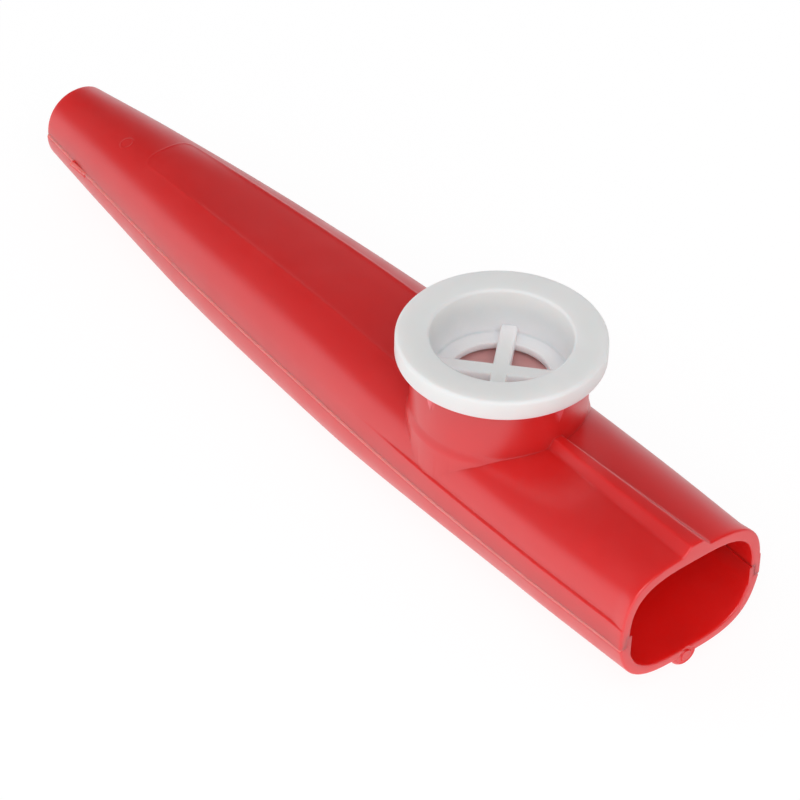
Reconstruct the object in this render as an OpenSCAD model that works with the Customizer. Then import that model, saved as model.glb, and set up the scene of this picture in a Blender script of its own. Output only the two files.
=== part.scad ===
// Kazoo: a tapered tube in two bonded halves, with a turret that holds a membrane
// under a push-in cap. The wide end is the mouthpiece and points to +X, the turret
// points to +Z, and the lowest point of the belly lies on the origin's plane.

/* [Tube] */
// Length of the tube
body_l = 120; // [100:1:150]
// Greatest width of the tube, beside the turret
body_w = 22.4; // [22.4:0.2:30]
// Greatest height of the upper half above the seam
top_h = 9.1; // [8.6:0.1:12]
// Greatest depth of the lower half under the seam
belly_d = 9.15; // [7.6:0.05:12]
// Wall of the tube at the top
top_wall = 1.45; // [1.2:0.05:2]
// Wall of the tube at the sides
side_wall = 1.4; // [1.3:0.1:1.7]
// Wall of the tube at the belly
base_wall = 1.2; // [1:0.1:1.8]
// How far the lower half's sides draw in toward the wide end, for each millimetre of depth
side_draft = 0.25; // [0:0.05:0.35]
// Length over which the upper half flares out to the lower half's width at the wide end
rim_flare_l = 2.4; // [1:0.1:2.8]
// How much of the side band's depth the flare takes back
rim_flare_share = 0.6; // [0:0.1:1]

/* [Seam] */
// How far the lower half stands out past the upper half at the seam
seam_step = 0.15; // [0.1:0.05:0.3]
// Height of the tongue above the seam
tongue_h = 1.5; // [1:0.1:2]
// Thickness of the tongue
tongue_t = 0.75; // [0.6:0.05:0.8]
// How far the tongue stands into the tube
tongue_proud = 0.25; // [0.15:0.05:0.4]
// Gap around the tongue
seam_gap = 0.05; // [0.02:0.01:0.1]
// Distance of the tongue's front end from the narrow end
tongue_inset = 5; // [3:0.5:10]
// Height of the side band behind the turret
band_h = 2.9; // [2:0.1:4]
// How far the side band stands out
band_proud = 0.3; // [0.1:0.05:0.35]

/* [Top] */
// Width of the rib where it meets the tube
rib_base_w = 4.1; // [3:0.1:5]
// Width of the flat top of the rib
rib_top_w = 1.8; // [0.8:0.1:2.4]
// Height of the rib above the tube
rib_h = 1.1; // [0.4:0.05:1.5]
// Width of the rib beside the turret as a share of its width at the wide end
rib_taper_share = 0.65; // [0.5:0.05:1]
// Distance of the panel's front edge from the narrow end
panel_start = 20.5; // [16:0.5:30]
// Depth of the panel under the tube's own surface
panel_dip = 0.05; // [0.05:0.05:0.3]
// How flat the panel is: 0 follows the tube's own curve, 1 is level from side to side
panel_flat_share = 0.8; // [0:0.05:0.9]
// Length over which the panel flattens, from its front edge
panel_flat_l = 15; // [5:1:25]
// Width of the slope round the panel
panel_edge = 0.3; // [0.2:0.05:0.6]

/* [Turret] */
// Distance of the turret's axis from the narrow end
turret_x = 86.2; // [70:0.2:92]
// Radius of the bore that takes the cap
bore_r = 9.1; // [8.6:0.1:9.3]
// Wall of the turret
turret_wall = 1.3; // [1.1:0.1:1.6]
// Height of the turret's rim above the seam
turret_h = 15.6; // [14.6:0.1:20]
// How far the round shoulder under the turret stands out past it
shoulder_proud = 0.4; // [0.2:0.05:0.6]
// Height above the seam at which the shoulder starts to draw in
shoulder_h = 7.4; // [5:0.1:8.2]
// Height over which the shoulder draws in
shoulder_slope = 0.9; // [0.4:0.1:1.5]
// Width of the ledge round the sound hole
ledge_w = 1.7; // [1.3:0.1:2.7]
// Thickness of the ledge that carries the membrane
ledge_t = 1.2; // [0.8:0.1:1.6]
// Radius of a pip at the turret's rim
pip_r = 0.8; // [0.4:0.05:1]
// Height of a pip
pip_h = 3.7; // [2:0.1:5]

/* [Cap] */
// How far the cap's flange reaches out past the bore
flange_w = 3.2; // [2.7:0.1:4.5]
// Thickness of the cap's flange
flange_t = 2.55; // [2:0.05:3.5]
// Radius of the round on the flange's upper edge
flange_round = 0.4; // [0.2:0.1:0.9]
// Radius of the round on the well's lip
lip_round = 0.35; // [0.2:0.05:0.5]
// Radial gap between the cap and the bore
cap_gap = 0.05; // [0.02:0.01:0.1]
// Wall of the cap's plug beside the shelf
plug_wall = 0.95; // [0.8:0.05:1.6]
// How much wider the well's radius is at its mouth than at the shelf
well_draft = 0.2; // [0:0.05:0.4]
// Depth of the well down to the shelf
well_d = 5.95; // [5:0.05:6.5]
// Thickness of the shelf
shelf_t = 1; // [0.8:0.1:1.6]
// Width of the shelf round its hole
shelf_w = 2.1; // [1.4:0.1:3]
// Width of the two crossed bars
bar_w = 2; // [1:0.1:2.6]
// Height of the bars above the shelf
bar_rise = 1; // [0.5:0.1:2]
// Gap between the bars and the underside of the shelf
bar_clear = 0.4; // [0.3:0.1:0.8]
// Turn of the cross about the cap's axis, in degrees
bar_turn = 42; // [0:1:90]

/* [Membrane] */
// Thickness of the film
film_t = 0.12; // [0.08:0.01:0.2]
// Width of the carrying ring
ring_w = 1.5; // [1:0.1:1.8]
// Thickness of the carrying ring
ring_t = 0.4; // [0.3:0.05:0.5]
// Radial gap between the ring and the bore
ring_gap = 0.2; // [0.1:0.05:0.3]

/* [Fits] */
// Play under the cap's flange, and above and below the membrane
play = 0.03; // [0.01:0.01:0.1]

/* [Small features] */
// Radius of the nub under the wide end
nub_r = 1.8; // [1.2:0.05:2]
// Drop of the nub's lowest point under the tube
nub_drop = 1.7; // [1:0.05:2]
// Length of the nub along the tube
nub_l = 2.2; // [1.8:0.1:4]
// Radius of the round on the nub's face
nub_round = 0.8; // [0.4:0.1:1]
// Distance of the seam lugs from the narrow end
lug_x = 8.8; // [6:0.2:12]
// Length of a seam lug
lug_l = 3.4; // [2:0.1:5]
// Radius of a seam lug
lug_r = 0.5; // [0.4:0.05:0.8]
// How far a seam lug stands out
lug_proud = 0.3; // [0.2:0.05:0.5]

/* [Hidden] */
round_fn = 96;
// One length by which every cut runs past what it cuts
overrun = 1;

// Stations along the tube as shares of its length, and the outlines there as shares
station_shares = [0, 0.12, 0.3, 0.5, 0.7, 0.86, 1];
width_shares = [0.44, 0.585, 0.777, 0.909, 1, 0.998, 0.95];
top_shares = [0.558, 0.715, 0.866, 0.986, 0.95, 0.966, 1];
depth_shares = [0.59, 0.76, 0.953, 1, 0.846, 0.768, 0.735];
// Roundness of the outlines at the stations: 2 is an ellipse, more is boxier
top_powers = [2.15, 2.3, 2.5, 2.75, 3.25, 3.4, 3.35];
base_powers = [2.2, 2.2, 2.25, 2.3, 2.75, 3.3, 3.4];
// Half width of the panel as a share of the tube's half width
panel_width_share = 0.48;
// Half width of the narrow flat under the belly as a share of the tube's half width
flat_width_share = 0.09;
// Softness of the crease above the side band, as a share of the band's height
band_soft_share = 0.06;
// Where the side band begins and reaches full depth, as shares of the length
band_start_share = 0.6;
band_full_share = 0.72;
// Where the lower half's sides begin to draw in and reach their full draft
draft_start_share = 0.55;
draft_full_share = 0.85;
// Steps along the tube, round the inside's halves, down each side of the belly, up each side
// of the top, over the crown and along the flare
ring_steps = 40;
arc_steps = 22;
belly_steps = 13;
side_steps = 6;
crown_steps = 10;
flare_steps = 4;

turret_r = bore_r + turret_wall;
shoulder_r = turret_r + shoulder_proud;
throat_r = bore_r - ledge_w;
plug_r = bore_r - cap_gap;
flange_r = bore_r + flange_w;
well_floor_r = plug_r - plug_wall;
well_r = well_floor_r + well_draft;
shelf_hole_r = well_floor_r - shelf_w;
flange_z = turret_h + play;
cap_top = flange_z + flange_t;
shelf_z = cap_top - well_d;
plug_z = shelf_z - shelf_t;
ledge_z = plug_z - ring_t - film_t - 2 * play;
film_z = ledge_z + play;
membrane_r = bore_r - ring_gap;

// Share between two values
function mix(a, b, t) = a + (b - a) * t;
// Smooth rise from 0 to 1
function rise(t) = let (c = min(1, max(0, t))) c * c * (3 - 2 * c);
// Index of the stretch of a table that holds t
function stretch(t, i = 0) =
    i >= len(station_shares) - 2 || t <= station_shares[i + 1] ? i : stretch(t, i + 1);
// Slope of a table at station i
function slope(values, i) =
    let (a = max(0, i - 1), b = min(len(station_shares) - 1, i + 1))
    (values[b] - values[a]) / (station_shares[b] - station_shares[a]);
// Smooth curve through a table of shares
function along(values, t) =
    let (
        i = stretch(t),
        span = station_shares[i + 1] - station_shares[i],
        u = (t - station_shares[i]) / span,
        u2 = u * u,
        u3 = u2 * u
    )
    (2 * u3 - 3 * u2 + 1) * values[i] + (u3 - 2 * u2 + u) * span * slope(values, i)
    + (3 * u2 - 2 * u3) * values[i + 1] + (u3 - u2) * span * slope(values, i + 1);

// Half width, height and depth of the tube at share t of its length
function half_w(t) = body_w / 2 * along(width_shares, t);
function up(t) = top_h * along(top_shares, t);
function down(t) = belly_d * along(depth_shares, t);
function top_power(t) = along(top_powers, t);
function base_power(t) = along(base_powers, t);

// Point at angle a on a rounded outline of half width w and height h
function outline_point(w, h, n, a) =
    let (r = pow(pow(abs(cos(a)) / w, n) + pow(abs(sin(a)) / h, n), -1 / n)) [r * cos(a), r * sin(a)];
// Half width of a rounded outline at height z
function outline_w(w, h, n, z) = w * pow(1 - pow(min(1, abs(z) / h), n), 1 / n);

// Depth of the side band at share t
function band(t) = band_proud * rise((t - band_start_share) / (band_full_share - band_start_share));
// How much of the flare at the wide end is present at share t: 0 is none, 1 is all
function flare(t) = rise(((t - 1) * body_l + rim_flare_l) / rim_flare_l);
// Draft of the lower half's sides at share t
function draft(t) = side_draft * rise((t - draft_start_share) / (draft_full_share - draft_start_share));
// Depth of the panel at share t
function dip(t) = t > panel_start / body_l && t < turret_x / body_l ? panel_dip : 0;
// How flat the top is at share t
function flatness(t) =
    t > panel_start / body_l && t < turret_x / body_l
        ? panel_flat_share * rise((t * body_l - panel_start) / panel_flat_l) : 0;
// Angle, seen from the seam's middle, at which the outline is y wide
function angle_at(y, w, h, n) = atan2(outline_w(h, w, n, y), y);

// Outline of the upper half at share t, from +Y over the top to -Y
function upper_outline(t) =
    let (
        foot_w = half_w(t) - seam_step * (1 - flare(t)),
        w = foot_w - band(t) * (1 - rim_flare_share * flare(t)),
        h = up(t),
        n = top_power(t),
        band_w = outline_w(foot_w, h, n, band_h),
        start = atan2(band_h * (1 + band_soft_share), outline_w(w, h, n, band_h)),
        rim = angle_at(w * panel_width_share, w, h, n),
        floor_rim = angle_at(w * panel_width_share - panel_edge, w, h, n),
        low = band_h * (1 - band_soft_share),
        side = [for (i = [0 : side_steps]) outline_point(w, h, n, mix(start, rim, i / side_steps))],
        rim_z = outline_point(w, h, n, floor_rim)[1],
        crown = [for (i = [0 : crown_steps])
            let (p = outline_point(w, h, n, mix(floor_rim, 180 - floor_rim, i / crown_steps)))
            [p[0], mix(p[1], rim_z, flatness(t)) - dip(t)]]
    )
    concat(
        [[foot_w, 0], [band_w, low]],
        side,
        crown,
        [for (i = [side_steps : -1 : 0]) [-side[i][0], side[i][1]]],
        [[-band_w, low], [-foot_w, 0]]
    );
// Point at angle a under the seam on an outline whose sides draw in with depth
function drafted_point(w, h, n, a, slant) =
    let (p = outline_point(w, h, n, a)) [p[0] * (1 + slant * p[1] / w), p[1]];
// Outline of the lower half at share t, from -Y under the belly's narrow flat to +Y
function lower_outline(t) =
    let (
        w = half_w(t),
        h = down(t),
        n = base_power(t),
        flat_y = w * flat_width_share,
        rim = angle_at(flat_y, w, h, n),
        side = [for (i = [0 : belly_steps - 1])
            drafted_point(w, h, n, 180 + rim * i / belly_steps, draft(t))]
    )
    concat(
        side,
        [[-flat_y, -h], [flat_y, -h]],
        [for (i = [belly_steps - 1 : -1 : 0]) [-side[i][0], side[i][1]]]
    );
// Outline of the tube's inside at share t, all the way round
function inner_outline(t) =
    concat(
        [for (i = [0 : arc_steps - 1])
            outline_point(half_w(t) - side_wall, up(t) - top_wall, top_power(t), 180 * i / arc_steps)],
        [for (i = [0 : arc_steps - 1])
            drafted_point(half_w(t) - side_wall, down(t) - base_wall, base_power(t),
                180 + 180 * i / arc_steps, draft(t))]
    );

// Closed solid through outlines of equal length at the places xs
module loft(xs, outlines) {
    n = len(outlines[0]);
    rows = len(xs);
    points = [for (r = [0 : rows - 1]) for (p = outlines[r]) [xs[r], p[0], p[1]]];
    sides = [for (r = [0 : rows - 2]) for (i = [0 : n - 1])
        let (j = (i + 1) % n, a = r * n + i, b = r * n + j, c = (r + 1) * n + i, d = (r + 1) * n + j)
        each [[a, c, b], [b, c, d]]];
    first = [for (i = [0 : n - 1]) i];
    last = [for (i = [n - 1 : -1 : 0]) (rows - 1) * n + i];
    polyhedron(points = points, faces = concat([first], sides, [last]), convexity = 6);
}

// Shares at which the outlines are drawn; the upper half has a close pair at the panel's edge
// and some more on the flare at the wide end
tube_shares = [for (i = [0 : ring_steps]) i / ring_steps];
panel_share = panel_start / body_l;
upper_shares = concat(
    [for (t = tube_shares) if (t < panel_share - 1 / ring_steps / 2) t],
    [panel_share, panel_share + panel_edge / body_l],
    [for (t = tube_shares) if (t > panel_share + 1 / ring_steps / 2 && t < 1) t],
    [for (i = [0 : flare_steps]) 1 - rim_flare_l / body_l * (1 - i / flare_steps)]
);
// Lowest point of the belly
seam_z = max([for (t = tube_shares) down(t)]);

// Moves a piece from the seam's frame to the part's own frame
module placed() {
    translate([-body_l / 2, 0, seam_z]) children();
}

// The inside of the tube, run out past both ends
module tube_inside() {
    shares = concat([0], tube_shares, [1]);
    last = len(shares) - 1;
    xs = [for (i = [0 : last]) i == 0 ? -overrun : i == last ? body_l + overrun : shares[i] * body_l];
    loft(xs, [for (t = shares) inner_outline(t)]);
}

// A strip along one side wall, from inner face y_in to outer face y_out off the inside
module side_strip(from_x, to_x, y_in, y_out, z_low, z_high, side) {
    steps = ring_steps - 2;
    shares = [for (i = [0 : steps]) mix(from_x, to_x, i / steps) / body_l];
    loft(
        [for (t = shares) t * body_l],
        [for (t = shares)
            let (w = half_w(min(t, 1)) - side_wall)
            side > 0
                ? [[w + y_in, z_low], [w + y_out, z_low], [w + y_out, z_high], [w + y_in, z_high]]
                : [[-w - y_out, z_low], [-w - y_in, z_low], [-w - y_in, z_high], [-w - y_out, z_high]]]
    );
}

module tongues() {
    for (side = [-1, 1])
        side_strip(tongue_inset, body_l, -tongue_proud, tongue_t - tongue_proud, -tongue_h, tongue_h, side);
}

module tongue_slots() {
    for (side = [-1, 1])
        side_strip(tongue_inset - seam_gap, body_l + overrun, -2 * tongue_t,
            tongue_t - tongue_proud + seam_gap, -overrun, tongue_h + seam_gap, side);
}

// The rib along the top, from inside the turret's wall to the wide end
module rib() {
    steps = 8;
    start = turret_x + bore_r + turret_wall / 2;
    shares = [for (i = [0 : steps]) mix(start, body_l, i / steps) / body_l];
    loft(
        [for (t = shares) t * body_l],
        [for (i = [0 : steps])
            let (
                z = up(shares[i]),
                wide = mix(rib_taper_share, 1, i / steps),
                base_y = wide * rib_base_w / 2,
                top_y = wide * rib_top_w / 2
            )
            [[base_y, z - top_wall / 2], [base_y, z], [top_y, z + rib_h],
                [-top_y, z + rib_h], [-base_y, z], [-base_y, z - top_wall / 2]]]
    );
}

// Four tapered pips under the turret's rim
module pips() {
    for (turn = [0 : 90 : 270])
        rotate([0, 0, turn])
            translate([turret_r, 0, turret_h - pip_h])
                cylinder(h = pip_h, r1 = 0, r2 = pip_r, $fn = 32);
}

module upper_shell() {
    color([0.77, 0.11, 0.11])
        placed()
            difference() {
                union() {
                    loft([for (t = upper_shares) t * body_l], [for (t = upper_shares) upper_outline(t)]);
                    rib();
                    translate([turret_x, 0, 0]) {
                        translate([0, 0, band_h])
                            cylinder(h = turret_h - band_h, r = turret_r, $fn = round_fn);
                        translate([0, 0, band_h / 2])
                            cylinder(h = shoulder_h - band_h / 2, r = shoulder_r, $fn = round_fn);
                        translate([0, 0, shoulder_h])
                            cylinder(h = shoulder_slope, r1 = shoulder_r, r2 = turret_r, $fn = round_fn);
                        pips();
                    }
                }
                tube_inside();
                tongue_slots();
                translate([turret_x, 0, 0]) {
                    translate([0, 0, ledge_z])
                        cylinder(h = turret_h - ledge_z + overrun, r = bore_r, $fn = round_fn);
                    translate([0, 0, band_h])
                        cylinder(h = ledge_z - ledge_t - band_h, r = bore_r, $fn = round_fn);
                    cylinder(h = ledge_z + overrun, r = throat_r, $fn = round_fn);
                }
            }
}

// Points of a quarter round about the centre c, from angle a to angle b
function quarter(c, r, a, b) =
    [for (i = [0 : 6]) [c[0] + r * cos(mix(a, b, i / 6)), c[1] + r * sin(mix(a, b, i / 6))]];

// The small nub under the wide end
module nub() {
    translate([body_l - nub_l, 0, nub_r - down(1) - nub_drop])
        rotate([0, 90, 0])
            rotate_extrude($fn = 48)
                polygon(concat(
                    [[0, 0], [nub_r, 0]],
                    quarter([nub_r - nub_round, nub_l - nub_round], nub_round, 0, 90),
                    [[0, nub_l]]
                ));
}

// One small lug on the lower half's edge beside the narrow end
module lug(side) {
    t = lug_x / body_l;
    translate([lug_x - lug_l / 2, side * (half_w(t) + lug_proud - lug_r), -lug_r])
        rotate([0, 90, 0])
            cylinder(h = lug_l, r = lug_r, $fn = 32);
}

module lower_shell() {
    color([0.74, 0.1, 0.1])
        placed() {
            difference() {
                union() {
                    loft([for (t = tube_shares) t * body_l], [for (t = tube_shares) lower_outline(t)]);
                    nub();
                    lug(1);
                    lug(-1);
                }
                tube_inside();
            }
            tongues();
        }
}

module membrane_ring() {
    color([0.93, 0.9, 0.82])
        placed()
            translate([turret_x, 0, film_z + film_t])
                difference() {
                    cylinder(h = ring_t, r = membrane_r, $fn = round_fn);
                    translate([0, 0, -overrun])
                        cylinder(h = ring_t + 2 * overrun, r = membrane_r - ring_w, $fn = round_fn);
                }
}

module membrane_film() {
    color([0.9, 0.82, 0.8])
        placed()
            translate([turret_x, 0, film_z])
                cylinder(h = film_t, r = membrane_r, $fn = round_fn);
}

module cap() {
    low_round = flange_round / 2;
    color([0.93, 0.93, 0.91])
        placed()
            translate([turret_x, 0, 0]) {
                rotate_extrude($fn = round_fn)
                    polygon(concat(
                        [[shelf_hole_r, plug_z], [plug_r, plug_z], [plug_r, flange_z]],
                        quarter([flange_r - low_round, flange_z + low_round], low_round, -90, 0),
                        quarter([flange_r - flange_round, cap_top - flange_round], flange_round, 0, 90),
                        quarter([well_r + lip_round, cap_top - lip_round], lip_round, 90, 180),
                        [[well_floor_r, shelf_z], [shelf_hole_r, shelf_z]]
                    ));
                for (turn = [0, 90])
                    rotate([0, 0, bar_turn + turn])
                        translate([-(well_floor_r + plug_r) / 2, -bar_w / 2, plug_z + bar_clear])
                            cube([well_floor_r + plug_r, bar_w, shelf_t - bar_clear + bar_rise]);
            }
}

upper_shell();
lower_shell();
membrane_ring();
membrane_film();
cap();
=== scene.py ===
import math

import bmesh
import bpy
import numpy as np
from mathutils import Matrix, Vector


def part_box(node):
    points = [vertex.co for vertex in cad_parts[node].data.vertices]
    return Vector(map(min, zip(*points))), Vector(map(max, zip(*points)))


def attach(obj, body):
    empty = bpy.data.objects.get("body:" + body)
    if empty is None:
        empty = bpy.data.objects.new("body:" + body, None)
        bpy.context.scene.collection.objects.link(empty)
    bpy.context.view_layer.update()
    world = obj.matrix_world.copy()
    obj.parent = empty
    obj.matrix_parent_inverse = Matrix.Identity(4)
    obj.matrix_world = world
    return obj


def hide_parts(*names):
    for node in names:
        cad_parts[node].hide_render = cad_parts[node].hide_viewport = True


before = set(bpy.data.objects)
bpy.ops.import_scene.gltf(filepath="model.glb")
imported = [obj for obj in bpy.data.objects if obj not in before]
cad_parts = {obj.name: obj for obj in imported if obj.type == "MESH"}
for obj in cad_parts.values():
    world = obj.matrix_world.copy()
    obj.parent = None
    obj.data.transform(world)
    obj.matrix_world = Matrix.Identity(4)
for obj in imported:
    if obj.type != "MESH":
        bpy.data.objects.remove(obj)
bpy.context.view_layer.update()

MM = 0.001

# The driving sizes, in millimetres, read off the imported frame
upper_low, upper_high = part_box("upper_shell")
cap_low, cap_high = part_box("cap")
film_low, film_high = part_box("membrane_film")
ring_low, ring_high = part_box("membrane_ring")
BODY_L = (upper_high.x - upper_low.x) / MM
SEAM_Z = upper_low.z / MM
TURRET_X = (cap_low.x + cap_high.x) / 2 / MM + BODY_L / 2
TURRET_H = upper_high.z / MM - SEAM_Z
FLANGE_R = (cap_high.x - cap_low.x) / 2 / MM
CAP_TOP = cap_high.z / MM - SEAM_Z
PLUG_Z = cap_low.z / MM - SEAM_Z
FILM_Z = film_low.z / MM - SEAM_Z
FILM_T = (film_high.z - film_low.z) / MM
RING_T = (ring_high.z - ring_low.z) / MM
MEMBRANE_R = (film_high.x - film_low.x) / 2 / MM

# Outlines at the stations along the tube, as shares of the overall sizes
STATION_SHARES = [0, 0.12, 0.3, 0.5, 0.7, 0.86, 1]
WIDTH_SHARES = [0.44, 0.585, 0.777, 0.909, 1, 0.998, 0.95]  # of BODY_W
TOP_SHARES = [0.558, 0.715, 0.866, 0.986, 0.95, 0.966, 1]  # of TOP_H
DEPTH_SHARES = [0.59, 0.76, 0.953, 1, 0.846, 0.768, 0.735]  # of the belly's greatest depth
TOP_POWERS = [2.15, 2.3, 2.5, 2.75, 3.25, 3.4, 3.35]  # 2 is an ellipse, more is squarer
BASE_POWERS = [2.2, 2.2, 2.25, 2.3, 2.75, 3.3, 3.4]
PANEL_SHARE = 0.48  # the panel's width, of the tube's
FLAT_SHARE = 0.09  # the flat under the belly, of the tube's width

# Walls, seam, band, rib and panel, in millimetres unless a comment says otherwise
BODY_W = 22.4
TOP_H = 9.1  # the upper half's greatest height over the seam
TOP_WALL = 1.45
SIDE_WALL = 1.4
BASE_WALL = 1.2
SIDE_DRAFT = 0.25  # how far the lower sides draw in, per unit of depth
DRAFT_START = 0.55  # share of the length
DRAFT_FULL = 0.85  # share of the length
RIM_FLARE_L = 2.4
RIM_FLARE = 0.6  # share of the band's depth that the flare takes away
SEAM_STEP = 0.15  # how far the lower half stands out past the upper
TONGUE_H = 1.5  # above the seam, and as deep below it
TONGUE_T = 0.75
TONGUE_PROUD = 0.25  # how far it stands into the bore
TONGUE_INSET = 5  # from the narrow end
TONGUE_SHORT = 0.02  # how far from the rim it ends
TONGUE_ROUND = 0.05
SEAM_GAP = 0.01  # play of the tongue in its slot
BAND_H = 2.9  # above the seam
BAND_PROUD = 0.3
BAND_SOFT = 0.045  # half height of the crease, of BAND_H
BAND_START = 0.6  # share of the length
BAND_FULL = 0.72  # share of the length
RIB_BASE_W = 4.1
RIB_TOP_W = 1.8
RIB_H = 1.1
RIB_TAPER = 0.65  # the rib's width behind the turret, of that at the mouth
PANEL_START = 20.5
PANEL_DIP = 0.012
PANEL_EDGE = 0.3  # width of the step down into the panel
PANEL_CORNER = 1.2  # radius
PANEL_FLAT = 0.8  # how much of the crown's curve the panel loses
PANEL_FLAT_L = 15  # length over which it does
PANEL_LIP = 0.05  # height of the fine raised line round the panel
PANEL_LIP_W = 0.14

# The lower half's slanted edge under the seam, as (how far back, how far down)
SEAM_CHAMFER = ((0.32, 0), (0.26, 0.01), (0.21, 0.05), (0.07, 0.25), (0.02, 0.33), (0, 0.44))

# Heights of the side's mesh rows under the band's crease, and the crease's own rows, counted
# down from BAND_H in half heights of the crease
SIDE_ROWS = [0.35, 0.8, 1.3, 1.8, 2.3]
CREASE_ROWS = [2, 1.4, 1, 0.7, 0.4, 0.1, -0.2, -0.5, -0.8, -1.1, -1.6]

# Mesh rows and columns near the panel's edge, counted inwards from it
PANEL_ROWS = [-0.5, -0.34, -0.22, -0.12, -0.02, 0.06, 0.14, 0.22, 0.32, 0.45, 0.65, 0.9]
PANEL_ROWS += [1.2, 1.6, 2.1, 2.6, 3.1]
PANEL_COLUMNS = [-0.34, -0.22, -0.12, -0.02, 0.06, 0.14, 0.22, PANEL_EDGE]

# Mesh columns of the crown's level part, and round each bend of the rib, as shares
CROWN_SHARES = [0.9, 0.8, 0.7, 0.6, 0.5, 0.4, 0.3, 0.2, 0.1]
BESIDE_RIB_SHARES = [1, 0.93, 0.86, 0.79, 0.72]
BEND_SHARES = [0.26, 0.13, 0, -0.13, -0.26]
FRONT_SPREAD = 0.6  # before the panel, of its half width
FRONT_STEP = 0.3
MIX_L = 9  # before and behind the turret's middle, where the columns move over to the rib
RIB_FOOT = 0.8  # distance of the last column before the rib
COLUMN_GAP = 0.012  # least distance between columns

# Turret, cap and membrane
BORE_R = 9.1
TURRET_WALL = 1.3
SHOULDER_PROUD = 0.4  # how far the lower part stands out
SHOULDER_H = 7.4  # above the seam
SHOULDER_SLOPE = 0.9
SHOULDER_EASE = 0.25
LEDGE_W = 1.7  # the ledge in the bore that the film lies on
LEDGE_T = 1.2
PIP_R = 0.8
PIP_H = 3.7
PIP_BELOW = 0.05  # how far under the turret's rim it ends
FLANGE_T = 2.55
CAP_GAP = 0.05  # round the plug
PLUG_WALL = 0.95
WELL_DRAFT = 0.2  # how much wider the well is at the top
SHELF_T = 1
SHELF_W = 2.1
BAR_W = 2
BAR_RISE = 1  # over the shelf
BAR_CLEAR = 0.4  # over the plug's end
BAR_TURN = 42  # degrees
PLAY = 0.03  # under the film
RING_W = 1.5
FILM_MARGIN = 0.7  # place of one more mesh ring inside the film's edge
FILM_SLACK = 0.04

# Nub and lugs
NUB_R = 1.8
NUB_DROP = 1.7  # from the belly to the nub's lowest point
NUB_L = 2.2  # along the tube
NUB_BUTTON_R = 1
NUB_GROOVE_R = 0.32
NUB_BUTTON_DROP = 0.25  # how far its centre lies under the nub's
NUB_EDGE = 0.25
NUB_DOME = 0.8
LUG_X = 8.8  # from the narrow end
LUG_L = 3.4
LUG_R = 0.5
LUG_PROUD = 0.3  # past the lower half's side

# The moulding's gate mark on the narrow end's top
GATE_X = 15.5
GATE_Y = -2.7
GATE_R = 0.8

# How strong the painted highlights on the seam's edge and the pips are, and how a pip's painted
# highlight is stretched
SEAM_HIGHLIGHT_STRENGTH = 0.85
PIP_HIGHLIGHT_STRENGTH = 0.8
PIP_HIGHLIGHT_STRETCH = (1, 1, 0.45)

# Small rounds that a moulding has on every edge
RIM_ROUND = 0.28
BORE_ROUND = 0.25
FOOT_ROUND = 0.1
TURRET_ROUND = 0.2
BORE_LEAD = 0.15
LUG_ROUND = 0.15
CAP_ROUND = 0.45
LIP_ROUND = 0.4
FLANGE_ROUND = 0.22
PLUG_ROUND = 0.15
WELL_ROUND = 0.25
HOLE_ROUND = 0.12
HOLE_CHAMFER = 0.1
BAR_ROUND = 0.45
RING_ROUND = 0.1

# How far a cutter runs past what it cuts
OVERRUN = 1

# How many sides the turned pieces have
CAP_SIDES = 224
TURRET_SIDES = 192
BORE_SIDES = 160
RING_SIDES = 128
FILM_SIDES = 96
NUB_SIDES = 64
SMALL_SIDES = 32

# Colours of the plastics, the film and its ring
RED_DEEP = (0.68, 0.011, 0.009, 1)
RED_LIGHT = (0.74, 0.015, 0.012, 1)
# Painted shade: a darker red mixed into creases and corners
RED_CREASE_PAINTED_SHADE = (0.5, 0.005, 0.004, 1)
# Painted light: a brighter red for deep inside the tube's hollow
RED_HOLLOW_PAINTED_LIGHT = (1, 0.026, 0.02, 1)
# Painted highlight: pale pink for the seam's slanted edge
SEAM_PAINTED_HIGHLIGHT = (1, 0.24, 0.21, 1)
# Painted highlight: pale pink for the pips' tops
PIP_PAINTED_HIGHLIGHT = (1, 0.17, 0.2, 1)
CAP_DARK = (0.795, 0.815, 0.795, 1)
CAP_LIGHT = (0.835, 0.855, 0.835, 1)
# Painted light: a lighter, pinker white for the cap's well
CAP_WELL_PAINTED_LIGHT = (0.98, 0.92, 0.92, 1)
FILM_DARK = (0.97, 0.55, 0.53, 1)
FILM_LIGHT = (0.99, 0.65, 0.63, 1)
RING_DARK = (0.72, 0.68, 0.58, 1)
RING_LIGHT = (0.8, 0.77, 0.68, 1)

# The studio's dome: strengths and directions for matt light, and as glossy surfaces show it
SKY_COLOUR = (0.99, 0.97, 1, 1)
DOME_LOW = 0.3
DOME_HIGH = 0.44
DOME_LEFT = 0.72
DOME_LEFT_AIM = (-0.42, -0.82, 0.38)
DOME_FRONT = 0.45
DOME_FRONT_AIM = (0.93, -0.2, 0.32)
SHOWN_LOW = 0.75
SHOWN_HIGH = 0.08
SHOWN_LEFT = 0.4
SHOWN_LEFT_AIM = (-0.6, -0.8, 0)
SHOWN_RIGHT = 0.4
SHOWN_RIGHT_AIM = (-0.59, 0.77, 0.24)
SHOWN_FRONT = 1.0
SHOWN_FRONT_AIM = (0.78, -0.49, 0.34)

# The key lamp and the floor, in metres and watts; SEEN is what the camera and reflections see
KEY_PLACE = (0.3, -0.17, 0.34)
KEY_AIM = (0.03, 0, 0.01)
KEY_SIZE = 0.25
KEY_POWER = 0.55
FLOOR_HALF = 2
FLOOR_DROP = 0.00005
FLOOR_MATT = 0.85
FLOOR_MATT_SEEN = 0.12
FLOOR_GLOW = 0.3
FLOOR_GLOW_SEEN = 0.91

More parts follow.
